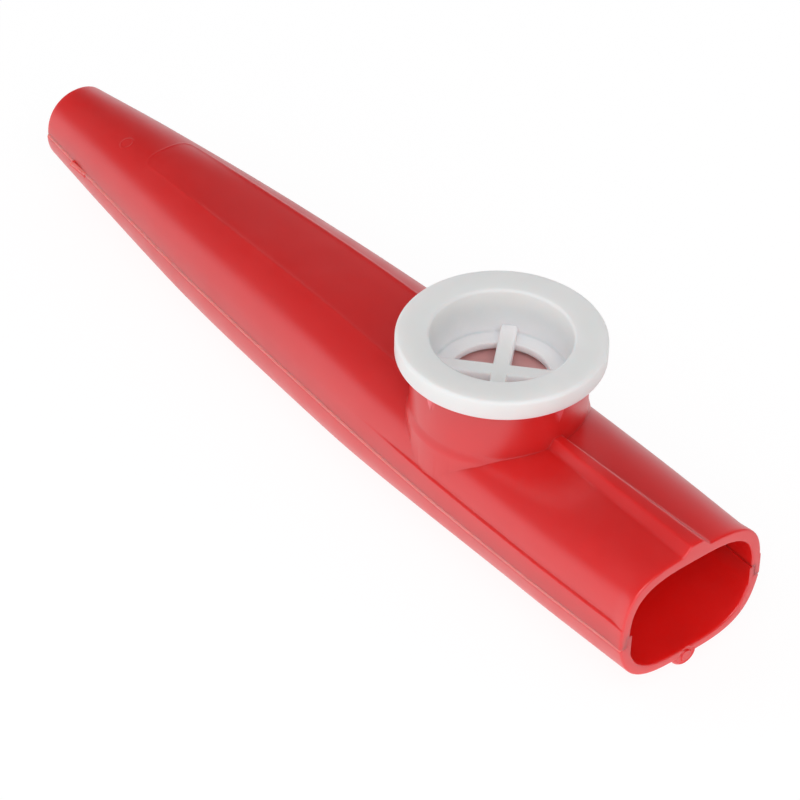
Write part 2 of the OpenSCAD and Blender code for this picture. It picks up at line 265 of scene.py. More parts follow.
# The photograph's view: angles in degrees, places in millimetres from the seam's middle, the
# focal length in the photograph's pixels
VIEW_AZIMUTH = 50.051
VIEW_ELEVATION = 39.691
VIEW_ROLL = 1.555
VIEW_RIGHT = 5.177
VIEW_DOWN = 6.784
VIEW_DISTANCE = 410.761
VIEW_FOCAL = 3357.172
IMAGE_W = 800
SENSOR_W = 36

# Sizes that follow from the others
TURRET_R = BORE_R + TURRET_WALL
SHOULDER_R = TURRET_R + SHOULDER_PROUD
PLUG_R = BORE_R - CAP_GAP
WELL_FLOOR_R = PLUG_R - PLUG_WALL
WELL_R = WELL_FLOOR_R + WELL_DRAFT
SHELF_HOLE_R = WELL_FLOOR_R - SHELF_W
SHELF_Z = PLUG_Z + SHELF_T
FLANGE_Z = CAP_TOP - FLANGE_T
LEDGE_Z = FILM_Z - PLAY


# Curves of the tube


def along(values, t):
    """Smooth curve through a table of shares, the same as the CAD's own."""
    s, v = np.array(STATION_SHARES, float), np.array(values, float)
    t = np.clip(np.asarray(t, float), 0, 1)
    low = np.maximum(np.arange(len(s)) - 1, 0)
    high = np.minimum(np.arange(len(s)) + 1, len(s) - 1)
    slope = (v[high] - v[low]) / (s[high] - s[low])
    i = np.clip(np.searchsorted(s, t, side="left") - 1, 0, len(s) - 2)
    span = s[i + 1] - s[i]
    u = (t - s[i]) / span
    a = (2 * u**3 - 3 * u**2 + 1) * v[i] + (u**3 - 2 * u**2 + u) * span * slope[i]
    b = (3 * u**2 - 2 * u**3) * v[i + 1] + (u**3 - u**2) * span * slope[i + 1]
    return a + b


def smooth(x):
    """Smooth rise from 0 to 1."""
    c = np.clip(x, 0, 1)
    return c * c * (3 - 2 * c)


# The belly touches the floor at its deepest place, which sets the scale of the depths
BELLY_D = SEAM_Z / along(DEPTH_SHARES, np.linspace(0, 1, 2001)).max()


def half_w(t):
    """Half the tube's width at share t of its length."""
    return BODY_W / 2 * along(WIDTH_SHARES, t)


def up(t):
    """Height of the upper half above the seam."""
    return TOP_H * along(TOP_SHARES, t)


def down(t):
    """Depth of the lower half under the seam."""
    return BELLY_D * along(DEPTH_SHARES, t)


def band(t):
    """How far the side band stands out."""
    return BAND_PROUD * smooth((t - BAND_START) / (BAND_FULL - BAND_START))


def draft(t):
    """How strongly the lower half's sides draw in with depth."""
    return SIDE_DRAFT * float(smooth((t - DRAFT_START) / (DRAFT_FULL - DRAFT_START)))


def flare(x):
    """How much of the upper half's flare at the wide end is present at distance x."""
    return float(smooth((x - BODY_L + RIM_FLARE_L) / RIM_FLARE_L))


def rib_halves(x):
    """Half widths of the rib's base and top at distance x."""
    start = TURRET_X + BORE_R + TURRET_WALL / 2
    along_it = min(max((x - start) / (BODY_L - start), 0), 1)
    wide = RIB_TAPER + (1 - RIB_TAPER) * along_it
    return wide * RIB_BASE_W / 2, wide * RIB_TOP_W / 2


def width_at(w, h, n, z):
    """Half width at height z of a rounded outline of half width w and height h."""
    return w * (1 - np.clip(np.abs(z) / h, 0, 1) ** n) ** (1 / n)


def polar(w, h, n, a):
    """Point at angle a on a rounded outline."""
    c, s = np.cos(a), np.sin(a)
    r = ((np.abs(c) / w) ** n + (np.abs(s) / h) ** n) ** (-1 / n)
    return r * c, r * s


# Mesh helpers: every maker works in millimetres above the seam, x from the narrow end


def new_object(name, vertices, faces):
    """Object in the scene made of plain vertices and faces."""
    mesh = bpy.data.meshes.new(name)
    mesh.from_pydata([tuple(v) for v in vertices], [], [tuple(f) for f in faces])
    mesh.validate()
    obj = bpy.data.objects.new(name, mesh)
    bpy.context.scene.collection.objects.link(obj)
    fix_normals(obj)
    return obj


def fix_normals(obj):
    """Turns every face outwards."""
    bm = bmesh.new()
    bm.from_mesh(obj.data)
    bmesh.ops.recalc_face_normals(bm, faces=bm.faces)
    bm.to_mesh(obj.data)
    bm.free()


def loft(name, xs, rings):
    """Closed solid through closed outlines of equal length."""
    rows, cols = len(rings), len(rings[0])
    points = np.zeros((rows, cols, 3))
    points[:, :, 0] = np.asarray(xs)[:, None]
    points[:, :, 1:] = np.asarray(rings)
    faces = []
    for r in range(rows - 1):
        for c in range(cols):
            d = (c + 1) % cols
            faces.append((r * cols + c, (r + 1) * cols + c, (r + 1) * cols + d, r * cols + d))
    faces.append(tuple(range(cols)))
    faces.append(tuple((rows - 1) * cols + c for c in reversed(range(cols))))
    return new_object(name, points.reshape(-1, 3), faces)


def lathe(name, profile, segments, centre=(0, 0), axis="z"):
    """Closed solid turned from a profile of (radius, height) points; radius 0 closes it."""
    vertices, faces, rings = [], [], []
    for r, z in profile:
        if r <= 1e-9:
            rings.append([len(vertices)])
            vertices.append((0, 0, z))
            continue
        rings.append(list(range(len(vertices), len(vertices) + segments)))
        for k in range(segments):
            a = 2 * math.pi * k / segments
            vertices.append((r * math.cos(a), r * math.sin(a), z))
    closed = rings if len(rings[0]) == 1 else rings + [rings[0]]
    for low, high in zip(closed, closed[1:]):
        for k in range(segments):
            m = (k + 1) % segments
            face = [low[k % len(low)], low[m % len(low)], high[m % len(high)], high[k % len(high)]]
            face = list(dict.fromkeys(face))
            if len(face) > 2:
                faces.append(face)
    if axis == "x":
        vertices = [(z, x, y) for x, y, z in vertices]
    vertices = [(x + centre[0], y, z + (centre[1] if axis == "x" else 0)) for x, y, z in vertices]
    return new_object(name, vertices, faces)


def arc(cx, cy, r, a, b, steps=6):
    """Points of a round about (cx, cy) from angle a to angle b, in degrees."""
    angles = np.radians(np.linspace(a, b, steps + 1))
    return [(cx + r * math.cos(q), cy + r * math.sin(q)) for q in angles]


def combine(base, operation, *tools):
    """Adds solids to base or takes them away from it, one by one, and removes them."""
    for tool in tools:
        step = base.modifiers.new("step", "BOOLEAN")
        step.operation = operation
        step.solver = "MANIFOLD"
        step.object = tool
        bpy.context.view_layer.update()
        graph = bpy.context.evaluated_depsgraph_get()
        result = bpy.data.meshes.new_from_object(base.evaluated_get(graph))
        base.modifiers.clear()
        base.data = result
        bpy.data.objects.remove(tool)
    return base


def settle(obj, sharp=28):
    """Moves a finished piece into the shared frame in metres and smooths its shading."""
    bm = bmesh.new()
    bm.from_mesh(obj.data)
    bmesh.ops.remove_doubles(bm, verts=bm.verts, dist=0.002)
    bmesh.ops.dissolve_degenerate(bm, edges=bm.edges, dist=0.001)
    bm.to_mesh(obj.data)
    bm.free()
    move = Matrix.Translation((-BODY_L / 2, 0, SEAM_Z))
    obj.data.transform(Matrix.Scale(MM, 4) @ move)
    obj.data.shade_smooth()
    obj.data.set_sharp_from_angle(angle=math.radians(sharp))
    return obj


# The two halves of the tube


def tube_solid(name, outline, xs):
    """One half's outside through outlines at the places xs, with both ends rounded."""
    front = []
    for a in np.radians(np.linspace(90, 0, 7)):
        front.append((RIM_ROUND * (1 - math.sin(a)), RIM_ROUND * (1 - math.cos(a))))
    back = [(BODY_L - x, inset) for x, inset in front]
    middle = [(x, 0.0) for x in xs if RIM_ROUND * 1.5 < x < BODY_L - RIM_ROUND * 1.5]
    rows = sorted(front + middle + back)
    return loft(name, [x for x, inset in rows], [outline(x, inset) for x, inset in rows])


def crown_columns(x, foot_w):
    """Places across the crown, from the panel's rim to the middle, at distance x."""
    half = foot_w * PANEL_SHARE
    into = x - PANEL_START
    reach = []
    for e in PANEL_COLUMNS:
        r = PANEL_CORNER - e
        if into <= e:
            reach.append(half * FRONT_SPREAD - e * FRONT_STEP)
        elif into < PANEL_CORNER:
            reach.append(half - PANEL_CORNER + math.sqrt(max(r * r - (PANEL_CORNER - into) ** 2, 0)))
        else:
            reach.append(half - e)
    front = reach + [reach[-1] * f for f in CROWN_SHARES]
    rib, top = rib_halves(x)
    span = rib - top
    back = [half * f for f in BESIDE_RIB_SHARES]
    back += [rib + RIB_FOOT] + [rib + span * f for f in BEND_SHARES]
    back += [(rib + top) / 2] + [top + span * f for f in BEND_SHARES]
    mix = float(smooth((x - (TURRET_X - MIX_L)) / (2 * MIX_L)))
    places = [a + (b - a) * mix for a, b in zip(front, back)]
    for k in range(1, len(places)):
        places[k] = min(places[k], places[k - 1] - COLUMN_GAP)
    return places


def soft_ramp(d, width, soft):
    """Ramp from 0 to 1 over width with rounded corners."""
    x = np.clip((d + soft) / (width + 2 * soft), 0, 1)
    bend = soft / (width + 2 * soft)
    low = x**2 / (4 * bend * (1 - 2 * bend))
    mid = (x - bend) / (1 - 2 * bend)
    high = 1 - (1 - x) ** 2 / (4 * bend * (1 - 2 * bend))
    return np.where(x < 2 * bend, low, np.where(x > 1 - 2 * bend, high, mid))


def side_outline(foot_w, h, n, depth):
    """The upper half's side at one row: the foot's round, the band and its crease."""
    points = []
    for q in np.radians([0, 25, 50, 70, 90]):
        z = FOOT_ROUND * (1 - math.cos(q))
        points.append((float(width_at(foot_w, h, n, z)) - FOOT_ROUND * (1 - math.sin(q)), z))
    soft = BAND_H * BAND_SOFT
    for z in SIDE_ROWS + [BAND_H - soft * k for k in CREASE_ROWS]:
        drop = depth * float(soft_ramp(z - (BAND_H - soft * 0.6), soft * 1.2, soft * 0.5))
        points.append((float(width_at(foot_w - drop, h, n, z)), z))
    return points


def panel_z(x, y, z, half, edge_z):
    """Height z of the crown with the nearly level panel and the fine line round it."""
    d_side, d_front = half - y, x - PANEL_START
    if d_side < PANEL_CORNER and d_front < PANEL_CORNER:
        d = PANEL_CORNER - math.hypot(PANEL_CORNER - d_side, PANEL_CORNER - d_front)
    else:
        d = min(d_side, d_front)
    inside = float(smooth(d / PANEL_EDGE))
    level = PANEL_FLAT * float(smooth((x - PANEL_START) / PANEL_FLAT_L))
    z -= inside * (PANEL_DIP + level * (z - edge_z))
    return z + PANEL_LIP * math.exp(-((d / PANEL_LIP_W + 1) ** 2))


def rib_z(x, y, z, top_z):
    """Height z of the crown with the rib along its middle."""
    rib, top = rib_halves(x)
    ramp = soft_ramp(rib - y, rib - top, (rib - top) * 0.2)
    return z + (top_z - z) * float(ramp)


def upper_ring(x, inset):
    """Outline of the upper half at distance x, from the +Y foot over the top to the -Y foot."""
    t = x / BODY_L
    foot_w = float(half_w(t)) - SEAM_STEP * (1 - flare(x)) - inset
    h = float(up(t)) - inset
    n = float(along(TOP_POWERS, t))
    depth = float(band(t)) * (1 - RIM_FLARE * flare(x))
    points = side_outline(foot_w, h, n, depth)
    w = foot_w - depth
    start = math.atan2(points[-1][1], points[-1][0])
    places = crown_columns(x, foot_w)
    rim = math.atan2(float(width_at(h, w, n, places[0])), places[0])
    for k in range(1, 24):
        y, z = polar(w, h, n, start + (rim - start) * k / 24)
        points.append((float(y), float(z)))
    half = foot_w * PANEL_SHARE
    edge_z = float(width_at(h, w, n, half))
    for y in places + [0]:
        z = float(width_at(h, w, n, y))
        z = panel_z(x, y, z, half, edge_z) if x < TURRET_X else rib_z(x, y, z, h + RIB_H)
        points.append((y, z))
    return points + [(-y, z) for y, z in points[-2::-1]]


def tube_rows(step):
    """Places of the upper half's rows, close together at the panel's front edge and the flare."""
    near = [PANEL_START + d for d in PANEL_ROWS]
    xs = [x for x in np.arange(step, BODY_L, step) if x < BODY_L - RIM_FLARE_L - 0.2]
    xs += list(np.linspace(BODY_L - RIM_FLARE_L, BODY_L, 9))
    xs = [x for x in xs if not near[0] - 0.3 < x < near[-1] + 0.3] + near
    return sorted(xs)


def inner_ring(t, let_out):
    """Outline of the tube's inside, let out a little where the bore's edge is round."""
    w = float(half_w(t)) - SIDE_WALL + let_out
    a = np.linspace(0, math.pi, 48, endpoint=False)
    top = polar(w, float(up(t)) - TOP_WALL + let_out, float(along(TOP_POWERS, t)), a)
    depth = float(down(t)) - BASE_WALL + let_out
    base = polar(w, depth, float(along(BASE_POWERS, t)), a + math.pi)
    drawn = base[0] * (1 + draft(t) * base[1] / w)
    return list(zip(top[0], top[1])) + list(zip(drawn, base[1]))


def tube_inside():
    """The tube's hollow, running past both ends, with a round at each end's edge."""
    quarter = np.radians(np.linspace(0, 90, 6))
    ends = [(-OVERRUN, BORE_ROUND)]
    ends += [(BORE_ROUND * (1 - math.cos(a)), BORE_ROUND * (1 - math.sin(a))) for a in quarter]
    rows = ends + [(x, 0) for x in np.arange(1.5, BODY_L - 1, 1.5)]
    rows += [(BODY_L - x, let_out) for x, let_out in reversed(ends)]
    rings = [inner_ring(x / BODY_L, let_out) for x, let_out in rows]
    return loft("inside", [x for x, let_out in rows], rings)


def side_strip(from_x, to_x, y_in, y_out, z_low, z_high, side, top_round=0.0):
    """A strip along one side wall, offset from the inside's own curve."""
    xs = np.linspace(from_x, to_x, 90)
    rings = []
    for x in xs:
        w = float(half_w(x / BODY_L)) - SIDE_WALL
        a, b = w + y_in, w + y_out
        if top_round:
            high = arc(b - top_round, z_high - top_round, top_round, 0, 90, 3)
            high += arc(a + top_round, z_high - top_round, top_round, 90, 180, 3)
        else:
            high = [(b, z_high), (a, z_high)]
        ring = [(a, z_low), (b, z_low)] + high
        rings.append([(side * y, z) for y, z in ring])
    return loft("strip", xs, rings)


def turret_solid():
    """The turret with its shoulder, before its bore is cut."""
    profile = [(0, BAND_H / 2), (SHOULDER_R, BAND_H / 2), (SHOULDER_R, BAND_H)]
    for k in range(13):
        u = k / 12
        z = SHOULDER_H - SHOULDER_EASE + (SHOULDER_SLOPE + 2 * SHOULDER_EASE) * u
        profile.append((TURRET_R + SHOULDER_PROUD * (1 - float(smooth(u))), z))
    profile += arc(TURRET_R - TURRET_ROUND, TURRET_H - TURRET_ROUND, TURRET_ROUND, 0, 90, 4)
    profile.append((0, TURRET_H))
    return lathe("turret", profile, TURRET_SIDES, (TURRET_X, 0))


def pip(turn):
    """One tapered pip under the turret's rim."""
    a = math.radians(turn)
    top = TURRET_H - PIP_BELOW
    profile = [(0, TURRET_H - PIP_H), (PIP_R, top), (0, top)]
    obj = lathe("pip", profile, SMALL_SIDES)
    shift = (TURRET_X + TURRET_R * math.cos(a), TURRET_R * math.sin(a), 0)
    obj.data.transform(Matrix.Translation(shift))
    return obj


def turret_bore():
    """Bore, ledge and chamber under it, with a lead-in at the rim."""
    throat, lead = BORE_R - LEDGE_W, BORE_R + BORE_LEAD
    top, under = TURRET_H + OVERRUN, LEDGE_Z - LEDGE_T
    profile = [(0, -OVERRUN), (throat, -OVERRUN), (throat, BAND_H), (BORE_R, BAND_H)]
    profile += [(BORE_R, under), (throat, under), (throat, LEDGE_Z), (BORE_R, LEDGE_Z)]
    profile += [(BORE_R, TURRET_H - BORE_LEAD), (lead, TURRET_H), (lead, top), (0, top)]
    return lathe("bore", profile, BORE_SIDES, (TURRET_X, 0))


def make_upper():
    """The upper half: crown and sides, turret, pips, bore and the slots for the tongue."""
    obj = tube_solid("upper_half", upper_ring, tube_rows(0.9))
    combine(obj, "UNION", turret_solid(), pip(0), pip(90), pip(180), pip(270))
    combine(obj, "DIFFERENCE", tube_inside())
    for side in (-1, 1):
        slot = side_strip(TONGUE_INSET - SEAM_GAP, BODY_L + OVERRUN, -2 * TONGUE_T,
                          TONGUE_T - TONGUE_PROUD + SEAM_GAP, -OVERRUN, TONGUE_H + SEAM_GAP, side)
        combine(obj, "DIFFERENCE", slot)
    combine(obj, "DIFFERENCE", turret_bore())
    return settle(obj)


def lower_ring(x, inset):
    """Outline of the lower half at distance x, from the -Y edge under the belly to the +Y edge."""
    t = x / BODY_L
    w, h = float(half_w(t)) - inset, float(down(t)) - inset
    n = float(along(BASE_POWERS, t))
    side = []
    for back, z in SEAM_CHAMFER:
        side.append((back - float(width_at(w, h, n, z)), -z))
    flat = w * FLAT_SHARE
    start = math.atan2(-side[-1][1], -side[-1][0])
    rim = math.atan2(float(width_at(h, w, n, flat)), flat)
    for k in range(1, 44):
        y, z = polar(w, h, n, math.pi + start + (rim - start) * k / 44)
        side.append((float(y), float(z)))
    side.append((-flat, -h))
    side = [(y * (1 + draft(t) * z / w), z) for y, z in side]
    return side + [(-y, z) for y, z in side[::-1]]


def nub():
    """The small domed nub under the wide end."""
    base = float(down(1)) + NUB_DROP - NUB_R
    profile = [(0, -NUB_L), (NUB_R - NUB_EDGE, -NUB_L)]
    profile += arc(NUB_R - NUB_EDGE, NUB_EDGE - NUB_L, NUB_EDGE, -90, 0, 4)
    profile += arc(NUB_R - NUB_DOME, -NUB_DOME, NUB_DOME, 0, 90, 10) + [(NUB_DOME / 2, 0), (0, 0)]
    return lathe("nub", profile, NUB_SIDES, (BODY_L, -base), "x")


def nub_groove():
    """A fine ring groove that sets off a button on the nub's face."""
    profile = arc(NUB_BUTTON_R, 0, NUB_GROOVE_R, 0, 360, 24)[:-1]
    height = NUB_R - float(down(1)) - NUB_DROP - NUB_BUTTON_DROP
    return lathe("groove", profile, NUB_SIDES, (BODY_L, height), "x")


def lug(side):
    """One small lug on the lower half's edge beside the narrow end."""
    y = side * (float(half_w(LUG_X / BODY_L)) + LUG_PROUD - LUG_R)
    flat, end = LUG_R - LUG_ROUND, LUG_L / 2 - LUG_ROUND
    profile = [(0, -LUG_L / 2)] + arc(flat, -end, LUG_ROUND, -90, 0, 4)
    profile += arc(flat, end, LUG_ROUND, 0, 90, 4) + [(0, LUG_L / 2)]
    obj = lathe("lug", profile, SMALL_SIDES, (LUG_X, -LUG_R), "x")
    obj.data.transform(Matrix.Translation((0, y, 0)))
    return obj


def make_lower():
    """The lower half: belly and sides, nub, lugs and the tongue along each side."""
    obj = tube_solid("lower_half", lower_ring, np.arange(1.0, BODY_L, 1.0))
    combine(obj, "UNION", nub(), lug(1), lug(-1))
    combine(obj, "DIFFERENCE", tube_inside(), nub_groove())
    for side in (-1, 1):
        strip = side_strip(TONGUE_INSET, BODY_L - TONGUE_SHORT, -TONGUE_PROUD,
                           TONGUE_T - TONGUE_PROUD, -TONGUE_H, TONGUE_H, side, TONGUE_ROUND)
        combine(obj, "UNION", strip)
    return settle(obj)


# The cap and the membrane


def cap_bar(turn):
    """One bar across the cap's well, with rounded upper edges."""
    r, half = (WELL_FLOOR_R + PLUG_R) / 2, BAR_W / 2
    low, high = PLUG_Z + BAR_CLEAR, PLUG_Z + SHELF_T + BAR_RISE
    flat, side = half - BAR_ROUND, high - BAR_ROUND
    ring = [(-half, low), (half, low)] + arc(flat, side, BAR_ROUND, 0, 90, 7)
    ring += arc(-flat, side, BAR_ROUND, 90, 180, 7)
    obj = loft("bar", [-r, 0, r], [ring] * 3)
    spin = Matrix.Rotation(math.radians(BAR_TURN + turn), 4, "Z")
    obj.data.transform(Matrix.Translation((TURRET_X, 0, 0)) @ spin)
    return obj


def make_cap():
    """The cap: plug, flange, well, shelf and the two crossed bars."""
    profile = [(SHELF_HOLE_R + HOLE_CHAMFER, PLUG_Z), (PLUG_R - PLUG_ROUND, PLUG_Z)]
    profile += arc(PLUG_R - PLUG_ROUND, PLUG_Z + PLUG_ROUND, PLUG_ROUND, -60, 0, 3)
    profile += [(PLUG_R, FLANGE_Z)]
    profile += arc(FLANGE_R - FLANGE_ROUND, FLANGE_Z + FLANGE_ROUND, FLANGE_ROUND, -90, 0, 5)
    profile += arc(FLANGE_R - CAP_ROUND, CAP_TOP - CAP_ROUND, CAP_ROUND, 0, 90, 10)
    profile += arc(WELL_R + LIP_ROUND, CAP_TOP - LIP_ROUND, LIP_ROUND, 90, 180, 10)
    profile += arc(WELL_FLOOR_R - WELL_ROUND, SHELF_Z + WELL_ROUND, WELL_ROUND, 0, -90, 5)
    profile += arc(SHELF_HOLE_R + HOLE_ROUND, SHELF_Z - HOLE_ROUND, HOLE_ROUND, 90, 180, 4)
    profile += [(SHELF_HOLE_R, PLUG_Z + HOLE_CHAMFER)]
    obj = lathe("cap_moulding", profile, CAP_SIDES, (TURRET_X, 0))
    combine(obj, "UNION", cap_bar(0), cap_bar(90))
    return settle(obj, 40)


def make_ring():
    """The stiff ring that carries the film."""
    low, high = FILM_Z + FILM_T, FILM_Z + FILM_T + RING_T
    inner = MEMBRANE_R - RING_W
    profile = [(inner, low), (MEMBRANE_R, low)]
    profile += arc(MEMBRANE_R - RING_ROUND, high - RING_ROUND, RING_ROUND, 0, 90, 3)
    profile += arc(inner + RING_ROUND, high - RING_ROUND, RING_ROUND, 90, 180, 3)
    return settle(lathe("carrier_ring", profile, RING_SIDES, (TURRET_X, 0)))


def make_film():
    """The thin film, with the faint slack waves of a stretched skin."""
    low, high = FILM_Z, FILM_Z + FILM_T
    radii = list(np.linspace(0.4, MEMBRANE_R - RING_W, 18))
    radii += [MEMBRANE_R - FILM_MARGIN, MEMBRANE_R]
    profile = [(0, high)] + [(r, high) for r in radii]
    profile += [(r, low) for r in reversed(radii)] + [(0, low)]
    obj = lathe("film_skin", profile, FILM_SIDES, (TURRET_X, 0))
    for v in obj.data.vertices:
        dx, dy = v.co.x - TURRET_X, v.co.y
        r, a = math.hypot(dx, dy), math.atan2(dy, dx)
        free = 1 - float(smooth(r / (MEMBRANE_R - RING_W)))
        wave = 0.5 + 0.5 * math.sin(0.8 * dx + 1.1 * dy + 0.7 * math.sin(3 * a))
        v.co.z -= FILM_SLACK * free * wave * (1 if v.co.z < (low + high) / 2 else 0.6)
    return settle(obj)


# Materials


class Nodes:
    """Small helper that builds a node tree."""

    def __init__(self, owner):
        owner.use_nodes = True
        self.nodes, self.links = owner.node_tree.nodes, owner.node_tree.links

    def add(self, kind, **settings):
        node = self.nodes.new(kind)
        for key, value in settings.items():
            setattr(node, key, value)
        return node

    def feed(self, socket, value):
        """Links another node's output to a socket, or sets the socket to a plain value."""
        if isinstance(value, bpy.types.NodeSocket):
            self.links.new(value, socket)
        else:
            socket.default_value = value

    def remap(self, value, low, high, to_low, to_high, curve="LINEAR"):
        node = self.add("ShaderNodeMapRange", interpolation_type=curve)
        ends = zip(("From Min", "From Max", "To Min", "To Max"), (low, high, to_low, to_high))
        for key, number in ends:
            node.inputs[key].default_value = number
        self.feed(node.inputs["Value"], value)
        return node.outputs["Result"]

    def choose(self, factor, a, b, kind="FLOAT"):
        """a where the factor is 0 and b where it is 1, for numbers or, with RGBA, colours."""
        node = self.add("ShaderNodeMix", data_type=kind)
        for key, value in zip(("Factor", "A", "B"), (factor, a, b)):
            self.feed(node.inputs[key], value)
        return node.outputs["Result"]

    def math(self, operation, *values):
        """One operation on two or more values, taken in turn from the left."""
        total = values[0]
        for value in values[1:]:
            node = self.add("ShaderNodeMath", operation=operation)
            self.feed(node.inputs[0], total)
            self.feed(node.inputs[1], value)
            total = node.outputs["Value"]
        return total

    def vector(self, operation, source, other=(0, 0, 0)):
        """One operation on a vector, with a fixed second vector where it has one."""
        node = self.add("ShaderNodeVectorMath", operation=operation)
        self.feed(node.inputs[0], source)
        self.feed(node.inputs[1], other)
        number = operation in ("DISTANCE", "LENGTH", "DOT_PRODUCT")
        return node.outputs["Value" if number else "Vector"]

    def height(self, vector):
        """The Z part of a vector."""
        split = self.add("ShaderNodeSeparateXYZ")
        self.feed(split.inputs["Vector"], vector)
        return split.outputs["Z"]


class Surface(Nodes):
    """One piece's material."""

    def __init__(self, name):
        self.material = bpy.data.materials.new(name)
        super().__init__(self.material)
        self.shader = self.nodes["Principled BSDF"]
        self.place = self.add("ShaderNodeTexCoord").outputs["Object"]

    def set(self, **values):
        """Sets or links the shader's sockets, each named with _ for its spaces."""
        for key, value in values.items():
            self.feed(self.shader.inputs[key.replace("_", " ")], value)

    def tint(self, factor, a, b):
        return self.choose(factor, a, b, "RGBA")

    def noise(self, scale, detail=2.0, stretch=(1, 1, 1), rough=0.5):
        move = self.add("ShaderNodeMapping")
        move.inputs["Scale"].default_value = stretch
        self.feed(move.inputs["Vector"], self.place)
        node = self.add("ShaderNodeTexNoise")
        for key, value in zip(("Scale", "Detail", "Roughness"), (scale, detail, rough)):
            node.inputs[key].default_value = value
        self.feed(node.inputs["Vector"], move.outputs["Vector"])
        return node.outputs["Fac"]

    def bump(self, height, strength, distance, normal=None):
        node = self.add("ShaderNodeBump")
        node.inputs["Strength"].default_value = strength
        node.inputs["Distance"].default_value = distance
        self.feed(node.inputs["Height"], height)
        if normal is not None:
            self.feed(node.inputs["Normal"], normal)
        return node.outputs["Normal"]

    def bevel(self, radius):
        node = self.add("ShaderNodeBevel", samples=6)
        node.inputs["Radius"].default_value = radius
        return node.outputs["Normal"]

    def nearness(self, distance):
        """0 on open surfaces, rising into concave corners."""
        node = self.add("ShaderNodeAmbientOcclusion", samples=6)
        node.inputs["Distance"].default_value = distance
        return self.math("SUBTRACT", 1, node.outputs["AO"])

    def ring_mark(self, x, y, radius, width):
        """1 on a thin ring about a place seen from above, in the shared frame, else 0."""
        flat = self.vector("MULTIPLY", self.place, (1, 1, 0))
        off = self.math("SUBTRACT", self.vector("DISTANCE", flat, (x, y, 0)), radius)
        return self.remap(self.math("ABSOLUTE", off, 0), 0, width, 1, 0)

    def seam_highlight_mask(self):
        """Up to 1 for a painted highlight on the slanted edge just under the seam, where the lower
        half stands out, else 0. It is painted only where the edge faces partly up, which the bore's
        wall beside it doesn't."""
        below = self.math("SUBTRACT", SEAM_Z * MM, self.height(self.place))
        start = self.remap(below, 0, 0.02 * MM, 0, 1)
        end = self.remap(below, 0.3 * MM, 0.5 * MM, SEAM_HIGHLIGHT_STRENGTH, 0)
        normal = self.add("ShaderNodeNewGeometry").outputs["True Normal"]
        facing = self.remap(self.height(normal), 0.25, 0.4, 0, 1)
        return self.math("MULTIPLY", self.math("MULTIPLY", start, end), facing)

    def pip_highlight_mask(self):
        """Up to 1 for a painted highlight at the top of each pip, else 0."""
        centre = ((TURRET_X - BODY_L / 2) * MM, 0, (SEAM_Z + TURRET_H - PIP_H / 2) * MM)
        size = self.vector("ABSOLUTE", self.vector("SUBTRACT", self.place, centre))
        reach = (TURRET_R + 0.3) * MM
        marks = []
        for spot in ((reach, 0, 0), (0, reach, 0)):
            apart = self.vector("MULTIPLY", self.vector("SUBTRACT", size, spot), PIP_HIGHLIGHT_STRETCH)
            far = self.vector("LENGTH", apart)
            marks.append(self.remap(far, 0.3 * MM, 0.85 * MM, PIP_HIGHLIGHT_STRENGTH, 0))
        return self.math("MAXIMUM", *marks)


def red_plastic():
    """Satin moulded red plastic, see-through enough to glow at thin edges: uneven flow,
    painted shade in the creases, painted light in the hollow, painted highlights on the seam's
    edge and on the pips, and a faint gate mark."""
    g = Surface("red_plastic")
    flow = g.noise(55, 3, (0.5, 1, 1), 0.55)
    tone = g.tint(g.remap(flow, 0.35, 0.68, 0, 1), RED_DEEP, RED_LIGHT)
    # Painted shade: darker red where the nearness mask finds creases and corners
    tone = g.tint(g.remap(g.nearness(0.5 * MM), 0.35, 0.9, 0, 0.3), tone, RED_CREASE_PAINTED_SHADE)
    # Painted light: brighter red deep inside the hollow, standing in for light bounced inside the
    # tube
    tone = g.tint(g.remap(g.nearness(20 * MM), 0.75, 0.95, 0, 1), tone, RED_HOLLOW_PAINTED_LIGHT)
    # Painted highlight along the seam's up-facing edge
    tone = g.tint(g.seam_highlight_mask(), tone, SEAM_PAINTED_HIGHLIGHT)
    # Painted highlight at the top of each pip
    tone = g.tint(g.pip_highlight_mask(), tone, PIP_PAINTED_HIGHLIGHT)
    normal = g.bump(g.noise(140, 1), 0.25, 0.03 * MM, g.bevel(0.14 * MM))
    mark = g.ring_mark((GATE_X - BODY_L / 2) * MM, GATE_Y * MM, GATE_R * MM, 0.2 * MM)
    normal = g.bump(mark, 0.8, 0.06 * MM, normal)
    g.set(Base_Color=tone, Normal=normal, Roughness=g.remap(g.noise(240, 2), 0.3, 0.7, 0.3, 0.37))
    g.set(IOR=1.55, Specular_IOR_Level=1.0, Specular_Tint=(1, 0.94, 1, 1))
    g.set(Subsurface_Weight=0.9, Subsurface_Scale=2.5 * MM, Subsurface_Radius=(1, 0.1, 0.08))
    return g.material


def cap_plastic():
    """Slightly see-through off-white plastic with a satin skin, with painted light making its well
    lighter and pinker.
    """
    g = Surface("cap_white_plastic")
    tone = g.tint(g.remap(g.noise(90, 3), 0.3, 0.7, 0, 1), CAP_DARK, CAP_LIGHT)
    # Painted light: lighter, pinker colour in the well where the nearness mask rises
    tone = g.tint(g.remap(g.nearness(6 * MM), 0.15, 0.5, 0, 1), tone, CAP_WELL_PAINTED_LIGHT)
    normal = g.bump(g.noise(260, 2), 0.2, 0.02 * MM, g.bevel(0.1 * MM))
    normal = g.bump(g.noise(2200, 2), 0.25, 0.004 * MM, normal)
    g.set(Base_Color=tone, Normal=normal, Roughness=g.remap(g.noise(420, 3), 0.3, 0.7, 0.36, 0.48))
    g.set(IOR=1.5)
    g.set(Subsurface_Weight=0.9, Subsurface_Scale=2 * MM, Subsurface_Radius=(1, 0.8, 0.75))
    return g.material


